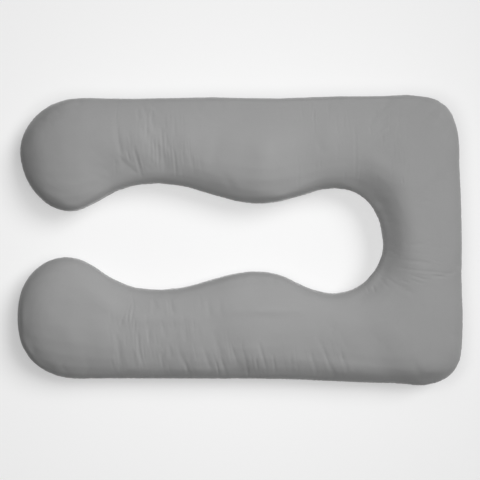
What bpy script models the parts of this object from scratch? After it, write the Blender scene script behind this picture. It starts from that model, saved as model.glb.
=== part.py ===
"""U-shaped body pillow: two shaped panels of smooth cloth, sewn together all round and filled.

The pillow lies on its back. +X runs from the open end to the head bar, +Y from the near arm to the
far arm and +Z up. The origin is on the ground, under the middle of the pillow.
"""

import math

import bmesh
import bpy
from mathutils import Vector

NAME = "body_pillow"
MM = 0.001

# How each cross-section is rounded
SEAM_HEIGHT = 84  # millimetres from the ground to the seam that joins the two panels
RESTING_RISE = 80  # a section that rises this far over the seam, in millimetres, lies on the ground
ROCKER = 1.2  # how softly the underside lifts off the ground towards a tip: 1 is a straight ramp
SEAM_DIP = 3  # millimetres that the seam is drawn in behind the cloth above and below it
UPPER_ROUNDNESS = 2.25  # superellipse exponent over the seam: 2 is an ellipse, more is boxier
LOWER_ROUNDNESS = 2.1  # the same from the seam down to the ground
FOOT = 0.46  # share of the width that lies flat on the ground
UPPER_ANGLES = (0, 5, 14, 27, 42, 57, 72, 86)  # points of half a section, in degrees from the seam
LOWER_ANGLES = (6, 17, 31, 47, 66, 90)  # the same below the seam

STEPS = 4  # stations drawn from one section of the table to the next
RISE_UNIT = 100  # millimetres; keeps a rail's third value small beside its place in plan

# Each section's ends on the outer and the inner seam, and the height of its crown, in millimetres.
# The sections run from the tip of the far arm, round the head bar, to the tip of the near arm.
FAR_TIP = (-718, 283)
NEAR_TIP = (-726, -250)
SECTIONS = (
    # outer x, outer y, inner x, inner y, crown
    (-710, 335, -710, 235, 116),
    (-685, 383, -690, 185, 141),
    (-640, 427, -650, 134, 163),
    (-585, 453, -600, 101, 175),
    (-520, 463, -545, 93, 181),
    (-450, 462, -480, 118, 180),
    (-370, 461, -400, 161, 174),
    (-280, 462, -300, 183, 169),
    (-180, 464, -200, 177, 169),
    (-80, 465, -90, 148, 175),
    (20, 463, 10, 122, 180),
    (120, 462, 105, 121, 181),
    (220, 465, 195, 143, 176),
    (330, 468, 275, 165, 170),
    (455, 469, 345, 164, 168),
    (575, 471, 400, 138, 172),
    (662, 444, 440, 92, 176),
    (704, 370, 459, 42, 173),
    (714, 235, 465, 5, 168),
    (721, 60, 466, -27, 166),
    (721, -130, 456, -65, 166),
    (723, -312, 430, -111, 171),
    (703, -419, 390, -148, 175),
    (632, -468, 335, -169, 177),
    (500, -467, 270, -170, 174),
    (390, -464, 200, -147, 170),
    (280, -459, 130, -114, 172),
    (180, -455, 60, -102, 177),
    (80, -453, -20, -109, 181),
    (-20, -452, -105, -132, 178),
    (-115, -452, -190, -154, 172),
    (-210, -452, -270, -161, 168),
    (-310, -452, -350, -153, 167),
    (-400, -452, -425, -122, 171),
    (-480, -452, -490, -79, 177),
    (-550, -452, -550, -56, 181),
    (-612, -437, -610, -61, 180),
    (-662, -407, -660, -89, 170),
    (-700, -362, -697, -132, 148),
    (-719, -309, -718, -185, 118),
)


def smooth_loop(points):
    """Points on the smooth closed curve through the given ones, STEPS to each span."""
    data = bpy.data.curves.new("seam_guide", "CURVE")
    data.dimensions = "3D"
    data.resolution_u = STEPS
    spline = data.splines.new("BEZIER")
    spline.bezier_points.add(len(points) - 1)
    spline.use_cyclic_u = True
    for knot, point in zip(spline.bezier_points, points):
        knot.co = point
        knot.handle_left_type = knot.handle_right_type = "AUTO"
    guide = bpy.data.objects.new("seam_guide", data)
    bpy.context.scene.collection.objects.link(guide)
    graph = bpy.context.evaluated_depsgraph_get()
    line = bpy.data.meshes.new_from_object(guide.evaluated_get(graph))
    loop = [vertex.co.copy() for vertex in line.vertices]
    bpy.data.objects.remove(guide)
    bpy.data.meshes.remove(line)
    return loop


def seam_rails():
    """The outer and the inner rail, station by station, from the far tip to the near tip.

    In plan a rail follows its seam, in millimetres. Its third value is the square of how far the
    crown beside it rises over the seam, which keeps the tips round.
    """
    outer = [(x, y, crown_square(crown)) for x, y, _, _, crown in SECTIONS]
    inner = [(x, y, crown_square(crown)) for _, _, x, y, crown in SECTIONS]
    loop = smooth_loop([(*FAR_TIP, 0), *outer, (*NEAR_TIP, 0), *reversed(inner)])
    half = len(loop) // 2
    return loop[: half + 1], [loop[0], *reversed(loop[half:])]


def crown_square(crown):
    """The square of how far a crown of this height rises over the seam."""
    return ((crown - SEAM_HEIGHT) / RISE_UNIT) ** 2


def rounded(value, roundness):
    """A sine or cosine turned into the superellipse's."""
    return value ** (2 / roundness)


def half_sections(angles, roundness, foot):
    """Shares of the half width and of the rise, from the seam to the middle."""
    shares = []
    for degrees in angles:
        angle = math.radians(degrees)
        across = foot + (1 - foot) * rounded(math.cos(angle), roundness)
        shares.append((across, rounded(math.sin(angle), roundness)))
    return shares


def section_ring(outer, inner):
    """One closed cross-section, from the outer seam over the crown, and back under the pillow."""
    rise = RISE_UNIT * math.sqrt((outer.z + inner.z) / 2)
    lying = 1 - (1 - min(rise / RESTING_RISE, 1)) ** ROCKER
    middle = ((outer + inner) / 2).to_2d()
    reach = ((outer - inner) / 2).to_2d()
    upper = half_sections(UPPER_ANGLES, UPPER_ROUNDNESS, 0)
    upper[0] = (1 - SEAM_DIP / reach.length, 0)
    lower = half_sections(LOWER_ANGLES, LOWER_ROUNDNESS, FOOT * lying)
    ring = [(across, SEAM_HEIGHT + rise * up) for across, up in upper]
    ring += [(-across, height) for across, height in reversed(ring)]
    belly = [(across, SEAM_HEIGHT * (1 - lying * down)) for across, down in lower]
    ring += [(-across, height) for across, height in belly]
    ring += reversed(belly)
    return [(middle + reach * across).to_3d() + Vector((0, 0, height)) for across, height in ring]


def build_pillow():
    """Lofts the cross-sections along the two seams and closes each arm at its tip."""
    outer, inner = seam_rails()
    mesh = bmesh.new()
    rings = [
        [mesh.verts.new(point * MM) for point in section_ring(*ends)]
        for ends in zip(outer[1:-1], inner[1:-1])
    ]
    for ring, following in zip(rings, rings[1:]):
        for i, vertex in enumerate(ring):
            mesh.faces.new((ring[i - 1], vertex, following[i], following[i - 1]))
    for tip, ring in ((outer[0], rings[0]), (outer[-1], rings[-1])):
        point = mesh.verts.new(Vector((tip.x, tip.y, SEAM_HEIGHT)) * MM)
        for i, vertex in enumerate(ring):
            mesh.faces.new((ring[i - 1], vertex, point))
    bmesh.ops.recalc_face_normals(mesh, faces=mesh.faces)
    data = bpy.data.meshes.new(NAME)
    mesh.to_mesh(data)
    mesh.free()
    data.shade_smooth()
    return bpy.data.objects.new(NAME, data)


def grey_cloth():
    """The cover's smooth, matt grey cloth."""
    material = bpy.data.materials.new("grey_cover_cloth")
    material.use_nodes = True
    shader = material.node_tree.nodes["Principled BSDF"]
    shader.inputs["Base Color"].default_value = (0.31, 0.31, 0.31, 1)
    shader.inputs["Roughness"].default_value = 0.85
    shader.inputs["Metallic"].default_value = 0
    return material


for old in list(bpy.data.objects):
    bpy.data.objects.remove(old)
parts = bpy.data.collections.new("u_shaped_body_pillow")
bpy.context.scene.collection.children.link(parts)
pillow = build_pillow()
pillow.data.materials.append(grey_cloth())
parts.objects.link(pillow)
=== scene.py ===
"""How the U-shaped body pillow looks: its sewn and filled cover, the seam with its stitches, and
the plain studio in which it lies. Lengths are in metres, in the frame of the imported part."""

import math

import bmesh
import bpy
import numpy as np
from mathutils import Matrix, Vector
from mathutils.kdtree import KDTree
from mathutils.noise import noise


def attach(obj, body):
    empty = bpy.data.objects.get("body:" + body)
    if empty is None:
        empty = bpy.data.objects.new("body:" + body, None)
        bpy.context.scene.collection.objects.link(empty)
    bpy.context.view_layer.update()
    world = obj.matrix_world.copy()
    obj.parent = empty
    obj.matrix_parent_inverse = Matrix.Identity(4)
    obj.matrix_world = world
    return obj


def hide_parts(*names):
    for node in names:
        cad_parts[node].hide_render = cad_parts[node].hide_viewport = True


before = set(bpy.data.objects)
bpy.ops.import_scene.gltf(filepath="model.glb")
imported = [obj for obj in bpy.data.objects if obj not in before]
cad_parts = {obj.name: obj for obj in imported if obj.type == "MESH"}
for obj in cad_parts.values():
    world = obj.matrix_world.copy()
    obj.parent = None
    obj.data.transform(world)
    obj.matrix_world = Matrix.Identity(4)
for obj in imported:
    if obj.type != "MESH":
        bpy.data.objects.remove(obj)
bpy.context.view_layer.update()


# ---- The filled cover ------------------------------------------------------------------------
# Two U-shaped panels of smooth grey cloth, sewn face to face, turned out and filled with loose
# fibre. The filling rounds the arms and the head bar, and the pillow's own weight flattens its
# underside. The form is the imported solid, remeshed finely enough for the cloth to wrinkle.

SEAM_HEIGHT = 0.084  # ground to the seam that joins the panels
CLOTH_CELL = 0.008  # size of one face of the cloth before it is made finer
SAME_POINT = 0.00001  # points of the solid this close together become one
FORM_ROUNDS = 14  # rounds of smoothing that turn the solid's facets into one soft skin
FORM_SHARES = (0.5, -0.52)  # each round draws the points together and lets them out again
SEAM_SNAP = 0.35 * CLOTH_CELL  # points this close to the seam line are moved onto it
SEAM_WELD = 0.0015  # points of the seam this close together become one
ON_SEAM = 0.0001
SEAM_CLEARANCE = 0.001  # no other point comes closer to the seam's height
ON_GROUND = 0.0015


def plain_mesh(thing):
    """The mesh that an object's modifiers give, and the modifiers taken off."""
    graph = bpy.context.evaluated_depsgraph_get()
    mesh = bpy.data.meshes.new_from_object(thing.evaluated_get(graph))
    thing.modifiers.clear()
    return mesh


def points_of(mesh):
    points = np.empty(len(mesh.vertices) * 3, np.float32)
    mesh.vertices.foreach_get("co", points)
    return points.reshape(-1, 3).astype(float)


def normals_of(mesh):
    normals = np.empty(len(mesh.vertices) * 3, np.float32)
    mesh.vertex_normals.foreach_get("vector", normals)
    return normals.reshape(-1, 3).astype(float)


def set_points(mesh, points):
    mesh.vertices.foreach_set("co", points.astype(np.float32).ravel())
    mesh.update()


def edges_of(mesh):
    edges = np.empty(len(mesh.edges) * 2, np.int32)
    mesh.edges.foreach_get("vertices", edges)
    return edges.reshape(-1, 2)


def averaged(values, edges, share=0.5):
    """Each point's values moved by this share towards the mean of its neighbours' values."""
    count = len(values)
    degree = np.bincount(edges.ravel(), minlength=count)
    mean = np.empty_like(values)
    for column in range(values.shape[1]):
        value = values[:, column]
        total = np.bincount(edges[:, 0], value[edges[:, 1]], count)
        total += np.bincount(edges[:, 1], value[edges[:, 0]], count)
        mean[:, column] = total / degree
    return values + share * (mean - values)


def step(low, high, value):
    """0 below low, 1 above high, and a smooth rise between them."""
    share = np.clip((value - low) / (high - low), 0, 1)
    return share * share * (3 - 2 * share)


solid = bmesh.new()
solid.from_mesh(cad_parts["body_pillow"].data)
bmesh.ops.remove_doubles(solid, verts=solid.verts, dist=SAME_POINT)
skin = bpy.data.meshes.new("pillow_skin")
solid.to_mesh(skin)
solid.free()
cover = bpy.data.objects.new("pillow_cover", skin)
bpy.context.scene.collection.objects.link(cover)
remesh = cover.modifiers.new("cells", "REMESH")
remesh.mode = "VOXEL"
remesh.voxel_size = CLOTH_CELL
cover.data = plain_mesh(cover)

cells = bmesh.new()
cells.from_mesh(cover.data)
for vertex in cells.verts:
    if abs(vertex.co.z - SEAM_HEIGHT) < SEAM_SNAP:
        vertex.co.z = SEAM_HEIGHT
bmesh.ops.bisect_plane(
    cells,
    geom=cells.verts[:] + cells.edges[:] + cells.faces[:],
    plane_co=(0, 0, SEAM_HEIGHT),
    plane_no=(0, 0, 1),
    dist=ON_SEAM,
)
on_line = [vertex for vertex in cells.verts if abs(vertex.co.z - SEAM_HEIGHT) < ON_SEAM]
bmesh.ops.remove_doubles(cells, verts=on_line, dist=SEAM_WELD)
cells.to_mesh(cover.data)
cells.free()

edges = edges_of(cover.data)
form = points_of(cover.data)
on_seam = np.abs(form[:, 2] - SEAM_HEIGHT) < ON_SEAM
for turn in range(FORM_ROUNDS):
    for share in FORM_SHARES:
        moved = averaged(form, edges, share)
        moved[on_seam, 2] = SEAM_HEIGHT
        moved[:, 2] = np.maximum(moved[:, 2], 0)
        form = moved
over_seam = ~on_seam & (form[:, 2] > SEAM_HEIGHT)
under_seam = ~on_seam & (form[:, 2] < SEAM_HEIGHT)


def keep_level(points):
    """Sets the seam back to its height, with the upper panel over it and the lower one under it."""
    points[on_seam, 2] = SEAM_HEIGHT
    points[over_seam, 2] = np.maximum(points[over_seam, 2], SEAM_HEIGHT + SEAM_CLEARANCE)
    points[under_seam, 2] = np.clip(points[under_seam, 2], 0, SEAM_HEIGHT - SEAM_CLEARANCE)


keep_level(form)
set_points(cover.data, form)

# The main creases, where the filled arms and the head bar bend and the cloth is a little too
# long: soft troughs between two low ridges each. A negative depth makes a ridge instead. A crease
# runs from its start to its end, and its bow is how far its middle swings out to the left.
CREASES_MM = (
    # start x, start y, end x, end y, bow, half width, depth
    # far arm, in the hollow behind its round tip
    (-342, 306, -315, 197, 0, 6, 1.5),
    (-317, 272, -306, 212, 0, 3.5, 0.38),
    (-361, 285, -353, 250, 0, 3.5, 0.8),
    (-400, 405, -364, 205, -4, 9, 0.9),
    (-356, 352, -348, 305, 0, 5, 0.4),
    (-330, 425, -323, 375, 0, 6, 0.75),
    (-300, 405, -296, 300, 0, 5.5, 0.6),
    (-288, 345, -286, 245, 0, 4, 0.5),
    (-284, 420, -282, 370, 0, 5, 0.4),
    (-275, 318, -273, 240, 0, 3.5, 0.5),
    (-264, 325, -261, 232, 0, 4, 0.8),
    (-251, 355, -246, 240, 0, 4, 0.8),
    (-241, 395, -238, 350, 0, 4, 0.5),
    (-236, 345, -233, 290, 0, 3.5, 0.3),
    (-226, 410, -226, 370, 0, 4, 0.3),
    (-224, 310, -222, 262, 0, 3.5, 0.4),
    (-215, 300, -206, 200, 2, 4.5, 1.0),
    (-211, 400, -209, 320, 0, 5, 0.5),
    (-160, 290, -146, 205, 0, 7, 0.5),
    (-136, 285, -118, 200, 0, 7, 0.4),
    (-70, 335, -96, 215, 0, 18, 1.3),
    # the rest of the far arm
    (-67, 224, -9, 147, 0, 12, 1.05),
    (249, 324, 265, 269, 0, 12, 0.95),
    (237, 422, 233, 382, 0, 3.5, 0.7),
    (282, 430, 284, 360, 0, 4, 0.5),
    (310, 415, 308, 340, 0, 4, 0.45),
    (332, 405, 331, 350, 0, 4, 0.5),
    (366, 390, 370, 185, 0, 5, 0.7),
    (413, 372, 418, 335, 0, 3.5, 0.5),
    (458, 350, 452, 292, 0, 4, 0.45),
    (503, 372, 497, 300, 0, 4, 0.5),
    (516, 197, 518, 176, 0, 3, 0.8),
    # head bar, fanning out from its inner corner
    (495, -86, 690, -107, -4, 4.5, 0.75),
    (534, -108, 602, -129, -1, 4, 0.7),
    (604, -111, 668, -121, 0, 4, 0.85),
    (540, -127, 594, -141, 0, 4, 0.45),
    (514, -129, 540, -137, 0, 3.5, 0.7),
    (468, -119, 508, -146, 0, 4.5, 0.7),
    (450, -124, 480, -158, 0, 5, 0.6),
    (428, -146, 434, -172, 0, 4, 0.85),
    (408, -148, 415, -174, 0, 4, 0.6),
    (500, -146, 562, -176, 0, 9, 1),
    (505, -62, 639, -78, 0, 6, 0.7),
    (505, -50, 528, -53, 0, 3.5, 0.35),
    (524, -18, 591, -11, 0, 6, 0.6),
    # near arm, in the hollow behind its round tip
    (-341, -205, -347, -264, 0, 4, 0.7),
    (-353, -203, -362, -270, 0, 3.5, 0.7),
    (-366, -222, -384, -276, 0, 4, 0.6),
    (-337, -246, -336, -300, 0, 3.5, 0.8),
    (-280, -185, -268, -225, 0, 8, 1),
    (-230, -185, -210, -245, 0, 9, 0.9),
    (-106, -180, -96, -250, 0, 8, 1),
    (-68, -180, -60, -250, 0, 8, 0.75),
    (-297, -262, -288, -340, 0, 7, 0.6),
    (-252, -256, -238, -315, 0, 9, 0.8),
    (-180, -248, -171, -335, 0, 9, 1.1),
    (-138, -265, -130, -335, 0, 7, 0.35),
    # near arm, running down to its outer seam
    (-393, -300, -380, -420, 0, 9, 1.1),
    (-336, -340, -322, -418, 0, 7, -0.6),
    (-331, -285, -311, -412, -2, 5, 0.65),
    (-309, -342, -307, -385, 0, 3, 0.35),
    (-252, -355, -246, -410, 0, 7, 0.6),
    (-228, -330, -220, -382, 0, 6, 0.4),
    (-203, -325, -166, -420, -4, 8, 0.9),
    (-176, -392, -166, -432, 0, 4.5, 0.8),
    (-120, -335, -92, -425, 0, 7, 1.0),
    (-84, -290, -58, -395, 0, 11, 1.1),
    (-64, -372, -43, -438, 0, 6, 1.2),
    (-50, -335, -30, -410, 0, 8, -0.8),
    (-29, -332, -6, -405, 0, 7, 0.9),
    (9, -352, 21, -396, 0, 4, 0.5),
    (12, -372, 28, -440, 0, 6, 0.85),
    (48, -372, 57, -420, 0, 4.5, 1),
    (58, -322, 88, -432, 0, 5.5, 1.1),
    (103, -362, 114, -428, 0, 4.5, 1.1),
    (140, -385, 147, -428, 0, 4.5, 0.3),
    (158, -342, 168, -438, 0, 5.5, 0.3),
    (180, -392, 187, -428, 0, 5, 0.45),
    (222, -355, 248, -434, 0, 7, 0.9),
    (260, -335, 308, -442, -3, 7, 0.85),
    (313, -332, 343, -425, 0, 7, 0.6),
)
CREASE_REACH = 4  # a crease has died away at this many half widths from its line
CREASE_RIDGES = 0.7  # how strongly the cloth beside a trough stands up in two ridges
CREASE_FADE = 0.8  # under 1, a crease keeps its depth nearer to its ends
UPPER_EDGE = 0.012  # the creases lie on the upper panel and fade this far above the seam
SLACK_REACH = 0.035  # beside a crease, the cloth is slack this far
SLACK_PAST = 0.3  # and past its ends, for this share of its length

# Between the creases the cloth is drawn into short, faint lines, all with the pull of the cloth.
FINE_LINE_ZONES_MM = (
    # least x, most x, least y, most y, heading in degrees, number of lines
    (-400, -130, 225, 425, -86, 60),
    (-420, 340, -435, -330, -79, 80),
    (-420, -100, -330, -190, -84, 40),
    (180, 540, 180, 430, -88, 40),
    (440, 690, -150, -20, -12, 24),
)
FINE_LINE_LENGTH_MM = (30, 110)
FINE_LINE_HALF_WIDTH_MM = (2.5, 5)
FINE_LINE_DEPTH_MM = (0.08, 0.32)
FINE_LINE_TURN = 7  # degrees by which a line may lean away from its zone's heading
FINE_LINE_SEED = 5


def fine_lines():
    """The faint lines, as rows like those of the main creases."""
    chance = np.random.default_rng(FINE_LINE_SEED)
    rows = []
    for least_x, most_x, least_y, most_y, heading, count in FINE_LINE_ZONES_MM:
        for line in range(count):
            x = chance.uniform(least_x, most_x)
            y = chance.uniform(least_y, most_y)
            turn = math.radians(heading + chance.uniform(-FINE_LINE_TURN, FINE_LINE_TURN))
            half = chance.uniform(*FINE_LINE_LENGTH_MM) / 2
            reach_x = half * math.cos(turn)
            reach_y = half * math.sin(turn)
            half_width = chance.uniform(*FINE_LINE_HALF_WIDTH_MM)
            depth = chance.uniform(*FINE_LINE_DEPTH_MM)
            rows.append((x - reach_x, y - reach_y, x + reach_x, y + reach_y, 0, half_width, depth))
    return rows


ALL_CREASES_MM = (*CREASES_MM, *fine_lines())


def across_and_along(points, crease):
    """How far each point lies beside a crease, and how far along it, as a share of its length."""
    start_x, start_y, end_x, end_y, bow = (value / 1000 for value in crease[:5])
    run = np.array((end_x - start_x, end_y - start_y))
    length = np.hypot(*run)
    run /= length
    offset = points[:, :2] - (start_x, start_y)
    along = offset @ run / length
    across = offset @ (-run[1], run[0])
    return across - 4 * bow * along * (1 - along), along


def crease_depths(points, creases):
    """How deep the creases lie at each point of the upper panel."""
    upper = np.where(points[:, 2] > SEAM_HEIGHT)[0]
    over = points[upper]
    depth = np.zeros(len(over))
    for crease in creases:
        half_width, most = (value / 1000 for value in crease[5:])
        across, along = across_and_along(over, crease)
        near = np.where((np.abs(across) < CREASE_REACH * half_width) & (along > 0) & (along < 1))[0]
        apart = (across[near] / half_width) ** 2
        fade = np.sin(math.pi * along[near]) ** CREASE_FADE
        depth[near] += most * (1 - CREASE_RIDGES * apart) * np.exp(-apart / 2) * fade
    depths = np.zeros(len(points))
    depths[upper] = depth * step(0, UPPER_EDGE, over[:, 2] - SEAM_HEIGHT)
    return depths


def slack_shares(points):
    """Where the cloth is slack, from 0 to 1."""
    slack = np.zeros(len(points))
    for crease in CREASES_MM:
        across, along = across_and_along(points, crease)
        past = np.maximum(np.maximum(-along, along - 1), 0)
        spread = np.exp(-((across / SLACK_REACH) ** 2) - (past / SLACK_PAST) ** 2)
        slack = np.maximum(slack, spread)
    return slack * (points[:, 2] > SEAM_HEIGHT)


# The filling is uneven: it stands higher or lower than the plain form in broad, soft swells and
# hollows. Each height is measured straight up, and a negative one makes a hollow. The deepest
# hollow runs round the inner corner of the head bar.
SWELLS_MM = (
    # x, y, half length, half width, heading in degrees, height
    # far arm
    (-175, 318, 48, 25, 90, 4),
    (-319, 302, 50, 25, 100, 3.5),
    (-345, 330, 90, 28, 0, 5.5),
    (-420, 322, 50, 18, 10, 2),
    (-225, 335, 35, 18, 90, 2),
    (-437, 184, 40, 25, 20, -7),
    (-445, 228, 60, 22, 8, -6.5),
    (-435, 255, 35, 22, 0, -1.5),
    (-340, 232, 45, 25, 0, -3),
    (-245, 250, 35, 20, 90, -3.5),
    (-540, 185, 45, 25, -10, -2.5),
    (-79, 166, 70, 20, -12, -6),
    (64, 228, 60, 32, 90, 5),
    (80, 275, 30, 24, 90, 3.5),
    (202, 270, 75, 38, 90, -4),
    (180, 243, 55, 28, 0, -2.5),
    (144, 128, 50, 14, 15, 5),
    (170, 155, 55, 13, 20, 6),
    (100, 142, 40, 12, 0, 5),
    (-575, 122, 40, 12, -25, 3.5),
    (-530, 100, 30, 14, 0, 3),
    (-510, 114, 50, 14, 25, 4),
    (-460, 140, 45, 14, 38, 5),
    (-385, 178, 40, 10, 22, 4),
    (-250, 200, 40, 12, 0, 2.5),
    (1, 407, 30, 30, 0, -2.5),
    (-70, 318, 45, 25, 90, -2.5),
    (282, 334, 40, 20, 90, 3),
    (-100, 380, 60, 22, 0, -3.5),
    (75, 370, 90, 25, 0, -5),
    (100, 402, 90, 14, 0, -1.5),
    (340, 405, 90, 14, 0, -2),
    (290, 385, 90, 22, 0, -4),
    (420, 382, 60, 22, 0, -3.5),
    (-657, 398, 55, 12, 42, -5),
    (-668, 392, 60, 28, 45, -6),
    (-692, 325, 25, 10, 80, -2.5),
    (-695, 250, 55, 35, 90, -8),
    (-615, 300, 50, 25, 90, -2),
    # far arm, full right up to its outer edge
    (-560, 442, 50, 12, 12, 3.5),
    (-460, 451, 55, 12, 0, 3.5),
    (-350, 450, 55, 12, 0, 3.5),
    (-240, 451, 55, 12, 0, 6),
    (-130, 453, 55, 12, 0, 7),
    (-20, 453, 55, 12, 0, 10),
    (90, 452, 55, 12, 0, 10),
    (200, 453, 55, 12, 0, 11),
    (310, 457, 55, 12, 0, 12.5),
    (420, 458, 55, 12, 0, 12),
    (530, 459, 55, 12, 0, 6),
    # head bar
    (495, 413, 60, 25, 0, -3.5),
    (535, 380, 50, 25, 0, -3.5),
    (649, 407, 40, 18, -50, 7),
    (645, 393, 16, 16, 0, 3),
    (620, 362, 30, 16, 60, 4),
    (639, 254, 90, 30, 95, -3),
    (655, 30, 60, 30, 90, -3),
    (655, -145, 60, 30, 90, -3),
    (640, -310, 30, 22, 90, -2),
    (690, -20, 90, 10, 90, 2),
    (690, -300, 80, 10, 90, 2.5),
    (460, 222, 60, 24, -40, 5),
    (530, 215, 60, 28, 100, 4),
    (522, 118, 60, 25, -70, 5),
    (550, -5, 75, 28, 90, 5.5),
    (570, -70, 60, 22, 90, 3.5),
    (389, 183, 30, 17, -20, -6),
    (400, 220, 45, 15, -10, -1.5),
    (400, 153, 35, 12, -35, -7),
    (432, 150, 45, 28, -50, -6),
    (453, 111, 45, 16, -62, -10.5),
    (470, 130, 25, 15, 90, -2.5),
    (480, -2, 50, 16, -88, -7),
    (478, 50, 45, 12, -72, -3),
    (497, -20, 80, 18, -85, -4),
    (460, -103, 40, 16, 70, -11.5),
    (487, -120, 35, 22, 85, -5),
    (405, -173, 35, 14, 38, -5.5),
    # near arm, full right up to its inner edge
    (-560, -72, 40, 12, -5, 3),
    (-470, -103, 45, 12, -30, 3.5),
    (-380, -154, 45, 12, -22, 3.5),
    (-290, -174, 50, 12, -4, 3.5),
    (-190, -168, 50, 12, 10, 4),
    (-110, -147, 45, 12, 17, 5),
    (-20, -122, 45, 12, 12, 6),
    (60, -115, 45, 12, -2, 4),
    (140, -132, 45, 12, -22, 3),
    (220, -170, 45, 12, -20, 3.5),
    (310, -186, 50, 12, 0, 4),
    # near arm
    (-223, -203, 70, 16, 0, 3.5),
    (-389, -225, 35, 25, 90, -3),
    (-435, -193, 55, 20, -35, 7),
    (-310, -250, 50, 15, 0, 5.5),
    (-200, -248, 40, 14, 0, 3),
    (-86, -273, 60, 28, 100, -3),
    (-40, -320, 35, 35, 0, -2.5),
    (60, -175, 80, 17, 8, -4.5),
    (95, -223, 75, 12, 0, 6.5),
    (-558, -289, 60, 25, -50, 3),
    (-580, -240, 45, 22, 90, -2),
    (-437, -327, 45, 25, 90, 3),
    (-143, -391, 30, 22, 90, 4),
    (-115, -420, 40, 14, 0, 3),
    (-205, -420, 30, 14, 0, 2.5),
    (42, -369, 30, 22, 90, 3.5),
    (33, -425, 35, 15, 0, -6),
    (192, -391, 40, 24, 0, 5),
    (368, -417, 60, 22, -5, 8.5),
    (300, -405, 45, 18, 0, 3),
    (-330, -412, 35, 15, 0, 4),
    (-195, -405, 25, 15, 0, 2),
    (432, -321, 50, 30, -55, -4.5),
    (405, -325, 45, 20, -25, -2),
    (192, -177, 50, 15, -30, 4),
    (336, -193, 45, 18, 0, 3),
    (537, -257, 110, 35, 60, 3),
    (607, -401, 45, 22, 0, 3.5),
    (605, -425, 40, 14, 0, 2.5),
    (575, -452, 80, 15, 2, -10),
    (39, -139, 30, 20, 0, -3),
    (-700, -255, 55, 10, 90, 5),
    (-688, -350, 35, 11, -62, 7.5),
    (-650, -405, 30, 10, -35, 4.5),
)
SWELL_EDGE = 0.025  # the swells fade towards the seam over this height


def swell_heights(points):
    """How far the filling lifts each point of the upper panel straight up from the plain form."""
    height = np.zeros(len(points))
    for x, y, half_length, half_width, heading, most in SWELLS_MM:
        turn = math.radians(heading)
        offset = points[:, :2] * 1000 - (x, y)
        along = offset @ (math.cos(turn), math.sin(turn)) / half_length
        across = offset @ (-math.sin(turn), math.cos(turn)) / half_width
        height += most / 1000 * np.exp(-(along**2 + across**2) / 2)
    return height * step(0, SWELL_EDGE, points[:, 2] - SEAM_HEIGHT)


# Finer than that, the loose fibre is lumpy. Each row gives the size and the height of its lumps.
LUMPS_MM = ((60, 0.6), (27, 0.28))


def lump_heights(points):
    """How far the lumps of the filling stand out at each point."""
    height = np.zeros(len(points))
    for size, most in LUMPS_MM:
        steps = (points / (size / 1000)).tolist()
        height += most / 1000 * np.array([noise(place) for place in steps])
    return height


form += normals_of(cover.data) * lump_heights(form)[:, None]
form[:, 2] += swell_heights(form)
keep_level(form)
set_points(cover.data, form)

# The cloth is simulated once over the filling: the seam and the underside stay put, the filling
# presses outwards, and the cloth, a little too long for the form, wrinkles between them.
PRESSURE = 4
PINNED_IN = 0.006  # the cloth starts this far inside the form, because it swells
LEAST_SLACK = 0.003  # share by which the smooth stretches are too long
MOST_SLACK = 0.03  # the same beside the creases
SETTLING_FRAMES = 20
MOST_SHIFT = 0.025  # no point of the cloth moves further than this
SWELL_ROUNDS = 70  # rounds of smoothing that leave the swelling and take out the wrinkles
SMOOTH_SHARE = 0.3  # how much of the simulated wrinkles the smooth stretches keep
SLACK_SHARE = 0.45  # the same beside the creases
LEAST_SHARE = 0.01  # points with less slack than this count as smooth

settled = form
normals = normals_of(cover.data)
slack_share = slack_shares(form)
seeded = form - normals * (PINNED_IN + crease_depths(form, CREASES_MM))[:, None]
held = on_seam | (form[:, 2] < ON_GROUND)
seeded[held] = form[held]
set_points(cover.data, seeded)
pins = cover.vertex_groups.new(name="pins")
pins.add(np.where(held)[0].tolist(), 1, "REPLACE")
slack = cover.vertex_groups.new(name="slack")
for index, share in enumerate(slack_share.tolist()):
    if share > LEAST_SHARE:
        slack.add((index,), share, "REPLACE")
cloth = cover.modifiers.new("cloth", "CLOTH")
settings = cloth.settings
settings.quality = 5
settings.mass = 0.2
settings.tension_stiffness = 15
settings.compression_stiffness = 15
settings.shear_stiffness = 5
settings.bending_stiffness = 0.5
settings.use_pressure = True
settings.uniform_pressure_force = PRESSURE
settings.vertex_group_mass = "pins"
settings.vertex_group_shrink = "slack"
settings.shrink_min = -LEAST_SLACK
settings.shrink_max = -MOST_SLACK
settings.effector_weights.gravity = 0
cloth.collision_settings.use_collision = False
cloth.point_cache.frame_start = 1
cloth.point_cache.frame_end = SETTLING_FRAMES
for moment in range(1, SETTLING_FRAMES + 1):
    bpy.context.scene.frame_set(moment)
cover.data = plain_mesh(cover)
cover.vertex_groups.clear()
shift = points_of(cover.data) - seeded
size = np.linalg.norm(shift, axis=1, keepdims=True)
shift *= np.minimum(1, MOST_SHIFT / np.maximum(size, 1e-9))
swelling = shift
for turn in range(SWELL_ROUNDS):
    swelling = averaged(swelling, edges)
    swelling[held] = 0
kept = SMOOTH_SHARE + (SLACK_SHARE - SMOOTH_SHARE) * slack_share
settled = form + kept[:, None] * (shift - swelling)
settled[on_seam] = form[on_seam]
keep_level(settled)
set_points(cover.data, settled)


# ---- The seam --------------------------------------------------------------------------------
# The panels are sewn together on the wrong side and turned out, so the seam is a narrow groove
# with the cloth gathered unevenly on both sides of it. Down in the groove the sewing thread
# bridges from one panel to the other.

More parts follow.
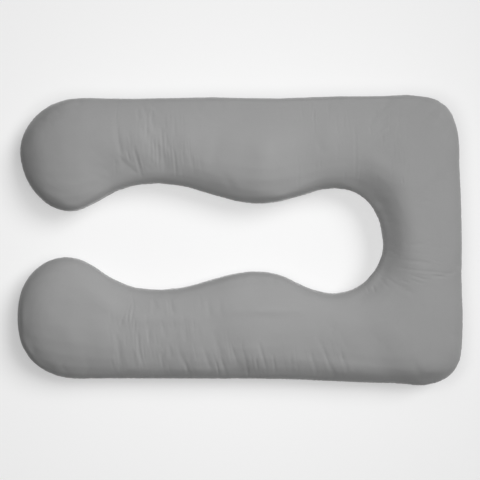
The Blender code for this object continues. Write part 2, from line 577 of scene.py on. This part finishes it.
GROOVE_DEPTH = 0.003
GROOVE_HALF_WIDTH = 0.0032
GROOVE_ROWS = (-0.011, -0.0045, 0.0045, 0.011)  # heights of the rows of points beside the seam
PUCKER_SPACING = (0.008, 0.022)
PUCKER_REACH = (0.010, 0.030)
PUCKER_HALF_WIDTH = (0.0022, 0.0042)
PUCKER_DEPTH = (0.0003, 0.0011)
PUCKER_LEAN = 0.5
PUCKER_RIDGES = 0.6  # how strongly the cloth stands up on both sides of a pucker
PUCKER_START = 0.004  # a pucker reaches its full depth this far from the groove
PUCKER_SPREAD = 4  # a pucker has died away at this many half widths from its line
PUCKER_MARGIN = 1.5  # how many times its reach a pucker is still followed
PUCKER_SEED = 11

FINE_HALF_WIDTH_MM = 6.2  # creases narrower than this need finer cloth
FINE_REACH = 2.5  # half widths beside such a crease in which the cloth is made finer


def beside_fine_creases(points):
    """Which points of the upper panel lie beside a narrow crease or a faint line."""
    beside = np.zeros(len(points), bool)
    for crease in ALL_CREASES_MM:
        if crease[5] < FINE_HALF_WIDTH_MM:
            across, along = across_and_along(points, crease)
            beside |= (np.abs(across) < FINE_REACH * crease[5] / 1000) & (along > 0) & (along < 1)
    return beside


rows = bmesh.new()
rows.from_mesh(cover.data)
fine = beside_fine_creases(settled)
fine_edges = set()
for face in rows.faces:
    on_upper_panel = all(corner.co.z > SEAM_HEIGHT + ON_SEAM for corner in face.verts)
    if on_upper_panel and any(fine[corner.index] for corner in face.verts):
        fine_edges.update(face.edges)
bmesh.ops.subdivide_edges(
    rows,
    edges=list(fine_edges),
    cuts=1,
    use_grid_fill=True,
    use_single_edge=True,
)
for height in GROOVE_ROWS:
    bmesh.ops.bisect_plane(
        rows,
        geom=rows.verts[:] + rows.edges[:] + rows.faces[:],
        plane_co=(0, 0, SEAM_HEIGHT + height),
        plane_no=(0, 0, 1),
        dist=ON_SEAM,
    )
crease = rows.edges.layers.float.new("crease_edge")
for edge in rows.edges:
    if all(abs(vertex.co.z - SEAM_HEIGHT) < ON_SEAM for vertex in edge.verts):
        edge[crease] = 1
rows.to_mesh(cover.data)
rows.free()
finer = cover.modifiers.new("finer", "SUBSURF")
finer.levels = 1
finer.render_levels = 1
cover.data = plain_mesh(cover)


def seam_loop(points, edges):
    """The points of the seam in their order round the pillow, against the clock from above."""
    level = np.abs(points[:, 2] - SEAM_HEIGHT) < ON_SEAM
    beside = {}
    for first, second in edges[level[edges].all(axis=1)].tolist():
        beside.setdefault(first, []).append(second)
        beside.setdefault(second, []).append(first)
    loop = [next(iter(beside))]
    following = beside[loop[0]][0]
    while following != loop[0]:
        loop.append(following)
        following = next(point for point in beside[loop[-1]] if point != loop[-2])
    x, y = points[loop, :2].T
    area = x @ np.roll(y, -1) - y @ np.roll(x, -1)
    return loop if area > 0 else loop[::-1]


points = points_of(cover.data)
edges = edges_of(cover.data)
loop = seam_loop(points, edges)
seam_line = points[loop]
links = np.linalg.norm(np.roll(seam_line, -1, axis=0) - seam_line, axis=1)
seam_length = links.sum()
runs = np.concatenate(((0,), np.cumsum(links)[:-1]))
tree = KDTree(len(loop))
for index, point in enumerate(seam_line):
    tree.insert(point, index)
tree.balance()

rise = points[:, 2] - SEAM_HEIGHT
band = np.where(np.abs(rise) < PUCKER_REACH[1] * PUCKER_MARGIN)[0]
run = np.empty(len(band))
for place, (x, y, _) in enumerate(points[band].tolist()):
    nearest = tree.find((x, y, SEAM_HEIGHT))[1]
    ahead = seam_line[(nearest + 1) % len(loop)] - seam_line[nearest - 1]
    ahead /= np.linalg.norm(ahead)
    step_on = (x - seam_line[nearest][0]) * ahead[0] + (y - seam_line[nearest][1]) * ahead[1]
    run[place] = runs[nearest] + step_on
band_rise = rise[band]

pucker = np.zeros(len(band))
chance = np.random.default_rng(PUCKER_SEED)
order = np.argsort(run)
sorted_run = run[order]
for side in (-1, 1):
    at = 0.0
    while at < seam_length:
        reach = chance.uniform(*PUCKER_REACH)
        half_width = chance.uniform(*PUCKER_HALF_WIDTH)
        depth = chance.uniform(*PUCKER_DEPTH)
        lean = chance.uniform(-PUCKER_LEAN, PUCKER_LEAN)
        span = PUCKER_SPREAD * half_width + PUCKER_LEAN * reach * PUCKER_MARGIN
        first, last = np.searchsorted(sorted_run, (at - span, at + span))
        near = order[first:last]
        height = band_rise[near] * side
        near = near[height > 0]
        height = height[height > 0]
        apart = ((run[near] - at - lean * height) / half_width) ** 2
        fade = np.exp(-((height / reach) ** 2)) * step(0, PUCKER_START, height)
        pucker[near] += depth * (1 - PUCKER_RIDGES * apart) * np.exp(-apart / 2) * fade
        at += chance.uniform(*PUCKER_SPACING)
groove = GROOVE_DEPTH * np.exp(-((band_rise / GROOVE_HALF_WIDTH) ** 2))

sunk = crease_depths(points, ALL_CREASES_MM)
sunk[band] += pucker + groove
points -= normals_of(cover.data) * sunk[:, None]
points[:, 2] = np.maximum(points[:, 2], 0)
set_points(cover.data, points)
cover.data.shade_smooth()

# The cloth is a fine, matt knit in mid grey. Its yarn is a little uneven, so the colour varies from
# place to place. The grooves between its loops are painted darker, as shade, and their crests
# lighter. The nap gives it a faint sheen.
DARK_GREY = (0.28, 0.28, 0.28, 1)
LIGHT_GREY = (0.345, 0.345, 0.345, 1)
RIB_PITCH = 0.0011  # from one column of loops to the next
LOOP_PITCH = 0.0009  # from one row of loops to the next
KNIT_RELIEF = 0.00008
RIB_SHARE = 0.7  # share of the relief that the columns make
LOOP_SHARE = 0.3  # and the single loops
CLOUD_SIZE = 0.2  # the broad patches of colour
YARN_SIZE = 0.003  # the uneven stretches of yarn
SLUB_RELIEF = 0.00012  # the soft unevenness of the cloth
SLUB_SIZE = 0.012
CLOUD_TINT = 0.3  # how much the patches and the yarn each lighten the grey, and how strongly the relief paints shade into the knit's grooves
YARN_TINT = 0.4
# painted shade: the relief darkens the grooves between the knit's loops and lightens their crests
KNIT_GROOVE_SHADE = 0.3
CLOTH_ROUGHNESS = 0.8
YARN_ROUGHNESS = 0.12  # added where the yarn is fuller
CLOTH_SHINE = 0.3
NAP_WEIGHT = 0.6
NAP_ROUGHNESS = 0.3


class Link:
    """A socket of a node tree, on which sums are written as Python expressions."""

    def __init__(self, tree, socket=None):
        self.tree = tree
        self.socket = socket

    def node(self, kind, settings, values, output=0):
        """The output of a new node. Its settings are made first, then its sockets are filled."""
        node = self.tree.nodes.new(kind)
        for name, setting in settings.items():
            setattr(node, name, setting)
        for place, value in values.items():
            if isinstance(value, Link):
                self.tree.links.new(value.socket, node.inputs[place])
            else:
                node.inputs[place].default_value = value
        return Link(self.tree, None if output is None else node.outputs[output])

    def output(self, name):
        """Another output of the same node."""
        return Link(self.tree, self.socket.node.outputs[name])

    def maths(self, operation, first, second=0):
        return self.node("ShaderNodeMath", {"operation": operation}, {0: first, 1: second})

    def __add__(self, other):
        return self.maths("ADD", self, other)

    __radd__ = __add__

    def __rsub__(self, other):
        return self.maths("SUBTRACT", other, self)

    def __mul__(self, other):
        return self.maths("MULTIPLY", self, other)

    __rmul__ = __mul__

    def __abs__(self):
        return self.maths("ABSOLUTE", self)

    def sine(self):
        return self.maths("SINE", self)

    def noise(self, place, size, detail):
        """Smooth noise between 0 and 1 with patches of this size, in metres."""
        values = {"Vector": place, "Scale": 1 / size, "Detail": detail}
        return self.node("ShaderNodeTexNoise", {}, values)


def knit(along, across):
    """The relief of the knit between 0 and 1: columns of loops that lie in small chevrons."""
    rib = abs((across * (math.pi / RIB_PITCH)).sine())
    loop = (along * (2 * math.pi / LOOP_PITCH) + rib * math.pi).sine()
    return rib * (RIB_SHARE + LOOP_SHARE * loop)


def knitted_cloth():
    """The finish of the cover."""
    material = bpy.data.materials.new("grey_cover_cloth")
    material.use_nodes = True
    shader = material.node_tree.nodes["Principled BSDF"]
    links = material.node_tree.links
    start = Link(material.node_tree)
    place = start.node("ShaderNodeTexCoord", {}, {}, "Object")
    x = start.node("ShaderNodeSeparateXYZ", {}, {0: place})
    y = x.output("Y")
    z = x.output("Z")
    facing_x = start.node("ShaderNodeSeparateXYZ", {}, {0: place.output("Normal")})
    facing_y = facing_x.output("Y")
    facing_z = facing_x.output("Z")
    relief = facing_z * facing_z * knit(x, y)
    relief = relief + facing_x * facing_x * knit(y, z)
    relief = relief + facing_y * facing_y * knit(x, z)
    clouds = start.noise(place, CLOUD_SIZE, 2)
    yarn = start.noise(place, YARN_SIZE, 3)
    slubs = start.noise(place, SLUB_SIZE, 1)
    # the patches and the yarn are the cloth's own tone; the relief adds painted shade in the knit's
    # grooves
    tone_and_groove_shade = CLOUD_TINT * clouds + YARN_TINT * yarn + KNIT_GROOVE_SHADE * relief
    mix = {"data_type": "RGBA"}
    colour = start.node("ShaderNodeMix", mix, {0: tone_and_groove_shade, 6: DARK_GREY, 7: LIGHT_GREY}, 2)
    links.new(colour.socket, shader.inputs["Base Color"])
    roughness = CLOTH_ROUGHNESS + YARN_ROUGHNESS * yarn
    links.new(roughness.socket, shader.inputs["Roughness"])
    height = KNIT_RELIEF * relief + SLUB_RELIEF * slubs
    bump = start.node("ShaderNodeBump", {}, {"Distance": 1, "Height": height})
    links.new(bump.socket, shader.inputs["Normal"])
    shader.inputs["Specular IOR Level"].default_value = CLOTH_SHINE
    shader.inputs["Sheen Weight"].default_value = NAP_WEIGHT
    shader.inputs["Sheen Roughness"].default_value = NAP_ROUGHNESS
    return material


cover.data.materials.clear()
cover.data.materials.append(knitted_cloth())
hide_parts("body_pillow")
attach(cover, "root")


# ---- The sewing thread -----------------------------------------------------------------------
# Polyester thread in a slightly lighter grey. Where the filling strains the seam, each stitch
# shows as a short bar that bridges the groove, and both its ends dive into the cloth.

STITCH_SPACING = 0.0036
STITCH_HEIGHT = 0.0030
THREAD_RADIUS = 0.00023
STITCH_BOW = 0.0008  # how far the middle control point of a stitch stands out
STITCH_LEAN = 0.16  # radians by which a stitch may lean along the seam
STITCH_SEED = 3
THREAD_GREY = (0.36, 0.36, 0.36, 1)
THREAD_GREY_DARK = (0.27, 0.27, 0.27, 1)
TWIST_PITCH = 0.0006
TWIST_RELIEF = THREAD_RADIUS / 4
TWIST_GROOVE_SHADE = 0.6  # how strongly the twist paints shade into the grooves between the plies, and how much the fibres lighten the thread
FIBRE_TINT = 0.4
THREAD_ROUGHNESS = 0.5
FIBRE_ROUGHNESS = 0.2  # added where the fibres stand out


def spun_thread():
    """The finish of the thread: two plies that twist round each other, with painted shade in the
    grooves between them.
    """
    material = bpy.data.materials.new("grey_thread")
    material.use_nodes = True
    shader = material.node_tree.nodes["Principled BSDF"]
    links = material.node_tree.links
    start = Link(material.node_tree)
    place = start.node("ShaderNodeTexCoord", {}, {}, "Object")
    x = start.node("ShaderNodeSeparateXYZ", {}, {0: place})
    twist = abs(((x + x.output("Y") + x.output("Z")) * (math.pi / TWIST_PITCH)).sine())
    fibres = start.noise(place, TWIST_PITCH, 2)
    mix = {"data_type": "RGBA"}
    # painted shade: the grooves between the plies are darker and their crests lighter; the fibres
    # are the thread's own tone
    tone_and_groove_shade = TWIST_GROOVE_SHADE * twist + FIBRE_TINT * fibres
    values = {0: tone_and_groove_shade, 6: THREAD_GREY_DARK, 7: THREAD_GREY}
    links.new(start.node("ShaderNodeMix", mix, values, 2).socket, shader.inputs["Base Color"])
    roughness = THREAD_ROUGHNESS + FIBRE_ROUGHNESS * fibres
    links.new(roughness.socket, shader.inputs["Roughness"])
    bump = start.node("ShaderNodeBump", {}, {"Distance": 1, "Height": twist * TWIST_RELIEF})
    links.new(bump.socket, shader.inputs["Normal"])
    return material


def stitching_tree():
    """Geometry Nodes that set one bowed bar of thread on every stretch of a line."""
    tree = bpy.data.node_groups.new("stitches", "GeometryNodeTree")
    tree.interface.new_socket("Line", in_out="INPUT", socket_type="NodeSocketGeometry")
    for name in ("Spacing", "Height", "Radius", "Bow", "Lean"):
        tree.interface.new_socket(name, in_out="INPUT", socket_type="NodeSocketFloat")
    tree.interface.new_socket("Thread", in_out="INPUT", socket_type="NodeSocketMaterial")
    tree.interface.new_socket("Stitches", in_out="OUTPUT", socket_type="NodeSocketGeometry")
    start = Link(tree)
    line = start.node("NodeGroupInput", {}, {}, "Line")
    half = line.output("Height") * 0.5
    places = start.node(
        "GeometryNodeResampleCurve",
        {"mode": "LENGTH"},
        {"Curve": line, "Length": line.output("Spacing")},
    )
    low = start.node("ShaderNodeCombineXYZ", {}, {"Z": 0 - half})
    out = start.node("ShaderNodeCombineXYZ", {}, {"Y": 0 - line.output("Bow")})
    high = start.node("ShaderNodeCombineXYZ", {}, {"Z": half})
    bar = start.node(
        "GeometryNodeCurveQuadraticBezier",
        {},
        {"Resolution": 3, "Start": low, "Middle": out, "End": high},
    )
    ring = start.node(
        "GeometryNodeCurvePrimitiveCircle",
        {},
        {"Resolution": 5, "Radius": line.output("Radius")},
    )
    stitch = start.node(
        "GeometryNodeCurveToMesh",
        {},
        {"Curve": bar, "Profile Curve": ring, "Fill Caps": True},
    )
    along = start.node("GeometryNodeInputTangent", {}, {})
    turned = start.node(
        "FunctionNodeAlignRotationToVector",
        {"axis": "X", "pivot_axis": "Z"},
        {"Vector": along},
    )
    lean = start.node(
        "FunctionNodeRandomValue",
        {"data_type": "FLOAT"},
        {2: 0 - line.output("Lean"), 3: line.output("Lean"), "Seed": STITCH_SEED},
        1,
    )
    leaning = start.node("ShaderNodeCombineXYZ", {}, {"Y": lean})
    turned = start.node(
        "FunctionNodeRotateRotation",
        {"rotation_space": "LOCAL"},
        {"Rotation": turned, "Rotate By": leaning},
    )
    row = start.node(
        "GeometryNodeInstanceOnPoints",
        {},
        {"Points": places, "Instance": stitch, "Rotation": turned},
    )
    row = start.node("GeometryNodeRealizeInstances", {}, {"Geometry": row})
    row = start.node("GeometryNodeSetShadeSmooth", {}, {"Geometry": row})
    spun = {"Geometry": row, "Material": line.output("Thread")}
    row = start.node("GeometryNodeSetMaterial", {}, spun)
    start.node("NodeGroupOutput", {}, {"Stitches": row}, None)
    return tree


seam_guide = bpy.data.curves.new("seam_guide", "CURVE")
seam_guide.dimensions = "3D"
spline = seam_guide.splines.new("POLY")
spline.points.add(len(loop) - 1)
for knot, point in zip(spline.points, points[loop].tolist()):
    knot.co = (*point, 1)
spline.use_cyclic_u = True
guide = bpy.data.objects.new("seam_guide", seam_guide)
bpy.context.scene.collection.objects.link(guide)
sewn = guide.modifiers.new("sewn", "NODES")
sewn.node_group = stitching_tree()
stitch_sizes = {
    "Spacing": STITCH_SPACING,
    "Height": STITCH_HEIGHT,
    "Radius": THREAD_RADIUS,
    "Bow": STITCH_BOW,
    "Lean": STITCH_LEAN,
    "Thread": spun_thread(),
}
for socket in sewn.node_group.interface.items_tree:
    if socket.name in stitch_sizes:
        sewn[socket.identifier] = stitch_sizes[socket.name]
stitches = bpy.data.objects.new("seam_stitches", plain_mesh(guide))
bpy.context.scene.collection.objects.link(stitches)
bpy.data.objects.remove(guide)
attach(stitches, "root")


# ---- The studio ------------------------------------------------------------------------------
# A pale, matt floor that glows a little, which keeps the shadows light. The main light is large
# and soft, and comes from beyond the head bar's far corner. One lamp hangs over the middle of
# the pillow, a weaker one beyond the far arm, and the surround is almost dark. The camera looks
# straight down.

FLOOR_HALF_SIDE = 6
FLOOR_GREY = (0.45, 0.45, 0.45, 1)
FLOOR_GLOW = 0.485
WHITE = (1, 1, 1, 1)
floor_mesh = bpy.data.meshes.new("studio_floor")
floor_shape = bmesh.new()
bmesh.ops.create_grid(floor_shape, x_segments=1, y_segments=1, size=FLOOR_HALF_SIDE)
floor_shape.to_mesh(floor_mesh)
floor_shape.free()
floor = bpy.data.objects.new("studio_floor", floor_mesh)
bpy.context.scene.collection.objects.link(floor)
floor_look = bpy.data.materials.new("pale_floor")
floor_look.use_nodes = True
floor_surface = floor_look.node_tree.nodes["Principled BSDF"]
floor_surface.inputs["Base Color"].default_value = FLOOR_GREY
floor_surface.inputs["Roughness"].default_value = 1
floor_surface.inputs["Specular IOR Level"].default_value = 0
floor_surface.inputs["Emission Color"].default_value = WHITE
floor_surface.inputs["Emission Strength"].default_value = FLOOR_GLOW
floor_mesh.materials.append(floor_look)

KEY_AZIMUTH = math.radians(32)
KEY_ELEVATION = math.radians(51)
KEY_STRENGTH = 2.08
KEY_SPREAD = math.radians(30)  # the wider, the softer its shadows
key_light = bpy.data.lights.new("key_light", "SUN")
key_light.energy = KEY_STRENGTH
key_light.angle = KEY_SPREAD
key = bpy.data.objects.new("key_light", key_light)
bpy.context.scene.collection.objects.link(key)
towards_key = Vector((
    math.cos(KEY_AZIMUTH) * math.cos(KEY_ELEVATION),
    math.sin(KEY_AZIMUTH) * math.cos(KEY_ELEVATION),
    math.sin(KEY_ELEVATION),
))
key.rotation_euler = towards_key.to_track_quat("Z", "Y").to_euler()

LAMPS = (
    # name, place, width, watts
    ("overhead_light", (0, 0, 1.7), 0.8, 11),
    ("far_light", (0.2, 0.8, 1.7), 1, 3),
)
for name, place, width, watts in LAMPS:
    lamp = bpy.data.lights.new(name, "AREA")
    lamp.shape = "DISK"
    lamp.size = width
    lamp.energy = watts
    hung = bpy.data.objects.new(name, lamp)
    hung.location = place
    hung.rotation_euler = Vector(place).to_track_quat("Z", "Y").to_euler()
    bpy.context.scene.collection.objects.link(hung)

SURROUND_STRENGTH = 0.01
surround = bpy.data.worlds.new("white_surround")
surround.use_nodes = True
surround.node_tree.nodes["Background"].inputs["Color"].default_value = WHITE
surround.node_tree.nodes["Background"].inputs["Strength"].default_value = SURROUND_STRENGTH
bpy.context.scene.world = surround

FRAME_WIDTH = 1.5670  # what the camera sees from side to side, at the height of the seam
SENSOR_WIDTH = 36
LENS = 85
CAMERA_X = -0.001
camera_data = bpy.data.cameras.new("camera")
camera_data.sensor_width = SENSOR_WIDTH
camera_data.lens = LENS
camera = bpy.data.objects.new("camera", camera_data)
camera.location = (CAMERA_X, 0, SEAM_HEIGHT + FRAME_WIDTH * LENS / SENSOR_WIDTH)
bpy.context.scene.collection.objects.link(camera)
bpy.context.scene.camera = camera
bpy.context.scene.view_settings.view_transform = "Standard"
